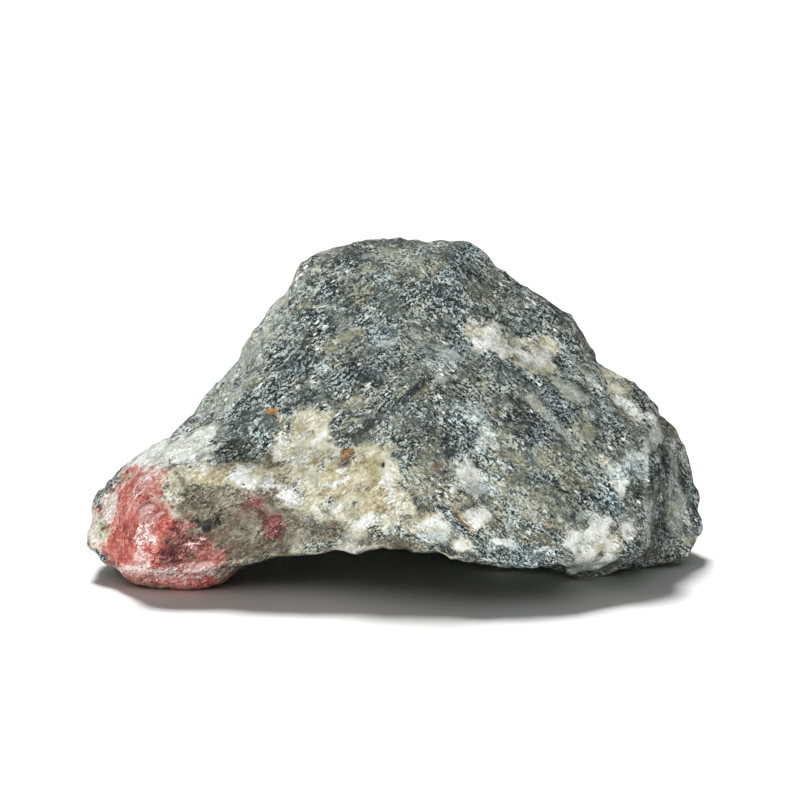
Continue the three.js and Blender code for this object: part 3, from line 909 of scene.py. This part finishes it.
# Each mineral's dark, middle and light grains, how much of its tone is speckle (the rest is
# mottle) and its contrast, in the order in which they lie over each other.
GROUND = ((28, 34, 35), (96, 102, 98), (206, 212, 206), 0.9, 1.0)
MINERALS = {
    "olive": ((44, 44, 33), (116, 117, 99), (194, 194, 178), 0.85, 1.0),
    "steel": ((26, 35, 37), (90, 102, 104), (204, 214, 214), 0.9, 1.0),
    "dark": ((20, 25, 26), (58, 66, 66), (178, 186, 184), 0.9, 1.0),
    "beige": ((84, 84, 69), (147, 148, 131), (208, 208, 194), 0.75, 1.0),
    "ash": ((94, 99, 94), (154, 158, 151), (214, 217, 211), 0.6, 1.1),
    "frost": ((96, 106, 106), (176, 184, 182), (242, 247, 245), 0.6, 1.1),
    "clay": ((56, 54, 42), (118, 114, 95), (184, 180, 162), 0.45, 1.3),
    "cream": ((124, 119, 94), (196, 194, 169), (234, 233, 216), 0.35, 1.3),
    "tan": ((122, 110, 76), (174, 164, 128), (212, 204, 174), 0.3, 1.3),
    "white": ((148, 149, 138), (214, 216, 209), (250, 251, 248), 0.35, 1.4),
    "brown": ((62, 50, 38), (110, 96, 80), (158, 147, 128), 0.45, 1.2),
    "rose": ((122, 56, 48), (186, 112, 100), (232, 182, 171), 0.3, 1.3),
    "red": ((108, 40, 34), (172, 80, 70), (228, 158, 146), 0.35, 1.3),
    "maroon": ((48, 22, 22), (102, 57, 54), (170, 114, 108), 0.45, 1.2),
    "pearl": ((150, 132, 120), (204, 192, 182), (242, 236, 230), 0.5, 1.4),
    "petal": ((150, 86, 82), (202, 156, 150), (248, 232, 228), 0.6, 1.5),
    "rust": ((110, 74, 40), (164, 120, 74), (204, 168, 124), 0.4, 1.2),
    "black": ((24, 26, 22), (46, 48, 42), (84, 86, 78), 0.5, 1.0),
}

# The grey minerals, down to this one, are tinted by these factors where cool and where warm.
LAST_GREY = "frost"
COOL_TINT = (0.93, 1.0, 1.04, 1.0)
WARM_TINT = (1.03, 1.0, 0.92, 1.0)
# A painted glint: single grains made near white, as if catching the light.
GLINT_COLOUR = (240, 243, 240)

# The grain's fractal noises: scale, detail and roughness.
NOISES = {
    "mottle": (620, 5, 0.72),
    "fine": (4200, 2, 0.8),
    "slow": (260, 3, 0.6),
    "lively": (420, 4, 0.6),
    "ragged": (1000, 5, 0.8),
    "warm": (300, 5, 0.68),
}
NOISE_RANGE = (0.3, 0.7)
FINE_RANGE = (0.25, 0.75)
FLAKE_SCALE = 4300
FLAKE_STRETCH = (2.0, 1.2, 0.8)
RISING_SLANT = 35
FALLING_SLANT = -40
# The flakes' slant changes over where SIDE_SLOPE times x, in metres, plus slow is in this range.
SIDE_SLOPE = 30.0
TURN_RANGE = (0.47, 0.53)
SINGLE_SCALE = 7000
SPECKLE_SHARES = {"fine": 0.26, "flake": 0.36, "single": 0.38}
LIVELY_GAIN = {"From Min": -0.13, "From Max": 0.13, "To Min": 0.9, "To Max": 3.8}
SLOW_TONE = 0.9
# Where the painted glints fall: the chosen grains, in the lively places.
GLINT_RANGE = (0.965, 0.972)
GLINT_PLACES = (0.46, 0.56)
HUE_SHARE = 0.12
WARMTH_RANGE = (0.42, 0.58)
# How far a cover shifts the ragged noise, and the range of it in which a mineral's edge fades.
COVER_GAIN = 1.5
EDGE_RANGE = (0.25, 0.75)
BUMP = {"Strength": 0.4, "Distance": 0.0003}
ROUGHNESS = {"To Min": 0.85, "To Max": 0.5}
SHINE = 0.35


def add(tree, kind, sockets=None, **settings):
    """Puts a node in the tree. Each socket, by name or number, gets a value or another's output."""
    node = tree.nodes.new(kind)
    for name, value in settings.items():
        setattr(node, name, value)
    for name, value in (sockets or {}).items():
        if isinstance(value, bpy.types.NodeSocket):
            tree.links.new(value, node.inputs[name])
        else:
            node.inputs[name].default_value = value
    return node


def new_group(name, inputs, outputs):
    """An empty shader node group with these named sockets, and its input and output nodes."""
    group = bpy.data.node_groups.new(name, "ShaderNodeTree")
    for in_out, sockets in (("INPUT", inputs), ("OUTPUT", outputs)):
        for label, kind in sockets.items():
            group.interface.new_socket(label, in_out=in_out, socket_type="NodeSocket" + kind)
    return group, group.nodes.new("NodeGroupInput"), group.nodes.new("NodeGroupOutput")


def maths(tree, operation, first, second=0.0, third=0.0):
    """One Math node's output."""
    sockets = {0: first, 1: second, 2: third}
    return add(tree, "ShaderNodeMath", sockets, operation=operation).outputs[0]


def stretch(tree, value, low, high, smooth=False):
    """The value carried from low..high to 0..1 and held there."""
    kind = "SMOOTHSTEP" if smooth else "LINEAR"
    node = add(tree, "ShaderNodeMapRange", {"Value": value, "From Min": low, "From Max": high},
               interpolation_type=kind)
    return node.outputs["Result"]


def blend(tree, factor, below, over, **settings):
    """Two colours mixed: the factor is the share of the second."""
    return add(tree, "ShaderNodeMix", {"Factor": factor, 6: below, 7: over},
               data_type="RGBA", **settings).outputs[2]


def cell_numbers(tree, place, scale):
    """Grains of this scale, each with three random numbers of its own."""
    cells = add(tree, "ShaderNodeTexVoronoi", {"Vector": place, "Scale": scale})
    return add(tree, "ShaderNodeSeparateColor", {0: cells.outputs["Color"]}).outputs


def flakes(tree, place, slant):
    """Flat grains that lie along lines turned by this angle in the front view."""
    turned = add(tree, "ShaderNodeMapping", {
        "Vector": place, "Rotation": (0, math.radians(-slant), 0), "Scale": FLAKE_STRETCH},
        vector_type="TEXTURE").outputs[0]
    return cell_numbers(tree, turned, FLAKE_SCALE)


def grain_group():
    """Sugary grain. Mottle is fractal noise from 1.5 mm down. Speckle is fine noise, grains and
    slanted flakes a fifth of a millimetre wide, lively in some places and calm in others, on a
    slow change of tone. Break is for ragged edges, Glint for painted glints, single grains made
    near white as if catching the light, and Warmth for brownish places, which are the calmer
    ones, and bluish ones."""
    group, entry, leave = new_group(
        "sugary_grain", {"Vector": "Vector"},
        {"Mottle": "Float", "Speckle": "Float", "Break": "Float", "Glint": "Float",
         "Warmth": "Float", "Height": "Float"})
    place = entry.outputs["Vector"]
    mottle, fine, slow, lively, ragged, warm = (
        add(group, "ShaderNodeTexNoise", {
            "Vector": place, "Scale": scale, "Detail": detail, "Roughness": roughness}).outputs[0]
        for scale, detail, roughness in NOISES.values())
    side = add(group, "ShaderNodeSeparateXYZ", {0: place}).outputs[0]
    turn = stretch(group, maths(group, "MULTIPLY_ADD", side, SIDE_SLOPE, slow), *TURN_RANGE)
    rising = flakes(group, place, RISING_SLANT)
    falling = flakes(group, place, FALLING_SLANT)
    flake, chosen, hue = (add(group, "ShaderNodeMix", {
        "Factor": turn, 2: rising[channel], 3: falling[channel]}).outputs[0]
        for channel in range(3))
    single = cell_numbers(group, place, SINGLE_SCALE)[0]
    small = stretch(group, fine, *FINE_RANGE)
    raw = maths(group, "ADD", maths(group, "MULTIPLY", small, SPECKLE_SHARES["fine"]),
                maths(group, "ADD", maths(group, "MULTIPLY", flake, SPECKLE_SHARES["flake"]),
                      maths(group, "MULTIPLY", single, SPECKLE_SHARES["single"])))
    gain = add(group, "ShaderNodeMapRange", {
        "Value": maths(group, "SUBTRACT", lively, warm), **LIVELY_GAIN}).outputs[0]
    lifted = maths(group, "MULTIPLY_ADD", maths(group, "SUBTRACT", raw, 0.5), gain, 0.5)
    tone = maths(group, "MULTIPLY_ADD", maths(group, "SUBTRACT", slow, 0.5), SLOW_TONE, lifted)
    glint = maths(group, "MULTIPLY", stretch(group, chosen, *GLINT_RANGE),
                  stretch(group, lively, *GLINT_PLACES))
    warmth = maths(group, "MULTIPLY_ADD", maths(group, "SUBTRACT", hue, 0.5), HUE_SHARE, warm)
    for label, value in (("Mottle", stretch(group, mottle, *NOISE_RANGE)), ("Speckle", tone),
                         ("Break", stretch(group, ragged, *NOISE_RANGE)), ("Glint", glint),
                         ("Warmth", stretch(group, warmth, *WARMTH_RANGE)), ("Height", raw)):
        group.links.new(value, leave.inputs[label])
    return group


def mineral_group():
    """One mineral laid over what is below it. Its tone is the mottle and the speckle mixed by its
    fineness and brought back to full contrast; its own dark, middle and light grains follow the
    tone, and the ragged noise breaks its edge."""
    group, entry, leave = new_group(
        "mineral",
        {"Below": "Color", "Cover": "Float", "Mottle": "Float", "Speckle": "Float",
         "Break": "Float", "Fineness": "Float", "Contrast": "Float",
         "Dark": "Color", "Middle": "Color", "Light": "Color"},
        {"Color": "Color"})
    inside = entry.outputs
    mixed = add(group, "ShaderNodeMix", {
        "Factor": inside["Fineness"], 2: inside["Mottle"], 3: inside["Speckle"]}).outputs[0]
    tone = maths(group, "MULTIPLY_ADD", maths(group, "SUBTRACT", mixed, 0.5),
                 inside["Contrast"], 0.5)
    lower = blend(group, stretch(group, tone, 0.0, 0.5), inside["Dark"], inside["Middle"])
    upper = blend(group, stretch(group, tone, 0.5, 1.0), lower, inside["Light"])
    broken = maths(group, "ADD", inside["Break"],
                   maths(group, "MULTIPLY_ADD", inside["Cover"], COVER_GAIN, -COVER_GAIN / 2))
    share = stretch(group, broken, *EDGE_RANGE, smooth=True)
    group.links.new(blend(group, share, inside["Below"], upper), leave.inputs["Color"])
    return group


def stone_material():
    """The stone: its ground and every mineral over it, with painted glints except on the clay, dull,
    with the grain as its bump.
    """
    material = bpy.data.materials.new("tugtupite_stone")
    material.use_nodes = True
    tree = material.node_tree
    shader = tree.nodes["Principled BSDF"]
    place = tree.nodes.new("ShaderNodeTexCoord").outputs["Object"]
    grain = add(tree, "ShaderNodeGroup", {"Vector": place}, node_tree=grain_group())
    mineral = mineral_group()
    below = (0.0, 0.0, 0.0, 1.0)
    for name, (dark, middle, light, fineness, contrast) in (("ground", GROUND), *MINERALS.items()):
        cover = 1.0
        if name in MINERALS:
            cover = add(tree, "ShaderNodeAttribute", attribute_name=name).outputs["Fac"]
        layer = add(tree, "ShaderNodeGroup", {
            "Below": below, "Cover": cover, "Fineness": fineness, "Contrast": contrast,
            "Dark": screen_colour(*dark), "Middle": screen_colour(*middle),
            "Light": screen_colour(*light),
            **{label: grain.outputs[label] for label in ("Mottle", "Speckle", "Break")}},
            node_tree=mineral)
        below = layer.outputs["Color"]
        if name == LAST_GREY:
            tint = blend(tree, grain.outputs["Warmth"], COOL_TINT, WARM_TINT)
            below = blend(tree, 1.0, below, tint, blend_type="MULTIPLY")
    dull = add(tree, "ShaderNodeAttribute", attribute_name="clay").outputs["Fac"]
    # Painted glints: near-white single grains, none where the clay lies.
    glint_share = maths(tree, "MULTIPLY", grain.outputs["Glint"], maths(tree, "SUBTRACT", 1.0, dull))
    glinted = blend(tree, glint_share, below, screen_colour(*GLINT_COLOUR))
    tree.links.new(glinted, shader.inputs["Base Color"])
    bump = add(tree, "ShaderNodeBump", {"Height": grain.outputs["Height"], **BUMP})
    tree.links.new(bump.outputs[0], shader.inputs["Normal"])
    rough = add(tree, "ShaderNodeMapRange", {"Value": grain.outputs["Speckle"], **ROUGHNESS})
    tree.links.new(rough.outputs["Result"], shader.inputs["Roughness"])
    shader.inputs["Specular IOR Level"].default_value = SHINE
    return material


# ---- the studio -------------------------------------------------------------
FLOOR_HALF = 2.0
FLOOR_COLOUR = (0.92, 0.92, 0.92, 1)
FLOOR_ROUGHNESS = 0.9
GLOW_COLOUR = (1, 1, 1, 1)
GLOW_STRENGTH = 0.04


def lay_floor():
    """A plain pale floor, level with the stone's lowest point."""
    mesh = bpy.data.meshes.new("floor")
    corners = [(-1, -1), (1, -1), (1, 1), (-1, 1)]
    mesh.from_pydata([(x * FLOOR_HALF, y * FLOOR_HALF, 0) for x, y in corners], [], [(0, 1, 2, 3)])
    floor = bpy.data.objects.new("floor", mesh)
    bpy.context.collection.objects.link(floor)
    material = bpy.data.materials.new("pale_floor")
    material.use_nodes = True
    shader = material.node_tree.nodes["Principled BSDF"]
    shader.inputs["Base Color"].default_value = FLOOR_COLOUR
    shader.inputs["Roughness"].default_value = FLOOR_ROUGHNESS
    mesh.materials.append(material)
    return floor


# Each light: where it shines from (right, away, up), its power, how wide it looks in degrees and
# what it lights: the stone, the floor or both.
LIGHTS = {
    "back_left_on_floor": ((-0.14, 0.52, 0.84), 3.9, 13, "floor"),
    "back_left_on_stone": ((-0.36, 0.60, 0.74), 1.8, 24, "stone"),
    "overhead": ((-0.10, 0.10, 0.99), 0.5, 110, "both"),
    "front_on_stone": ((-0.24, -0.87, 0.33), 2.5, 30, "stone"),
}


def light_studio(**things):
    """The lights: from behind on the left, one for the floor and one for the stone; a wide soft
    one overhead; a soft one from the front for the stone; and a faint even glow."""
    for name, (way, power, angle, lit) in LIGHTS.items():
        light = bpy.data.lights.new(name, "SUN")
        light.energy = power
        light.angle = math.radians(angle)
        lamp = bpy.data.objects.new(name, light)
        lamp.rotation_euler = Vector(way).to_track_quat("Z", "Y").to_euler()
        bpy.context.collection.objects.link(lamp)
        if lit in things:
            only = bpy.data.collections.new("lit_by_" + name)
            only.objects.link(things[lit])
            lamp.light_linking.receiver_collection = only
    world = bpy.data.worlds.new("studio")
    world.use_nodes = True
    glow = world.node_tree.nodes["Background"]
    glow.inputs["Color"].default_value = GLOW_COLOUR
    glow.inputs["Strength"].default_value = GLOW_STRENGTH
    bpy.context.scene.world = world
    bpy.context.scene.view_settings.view_transform = "Standard"


place_camera()
floor = lay_floor()

stone = make_stone()
stone.data.materials.append(stone_material())
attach(stone, "root")
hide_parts(NODE_NAME)
light_studio(stone=stone, floor=floor)
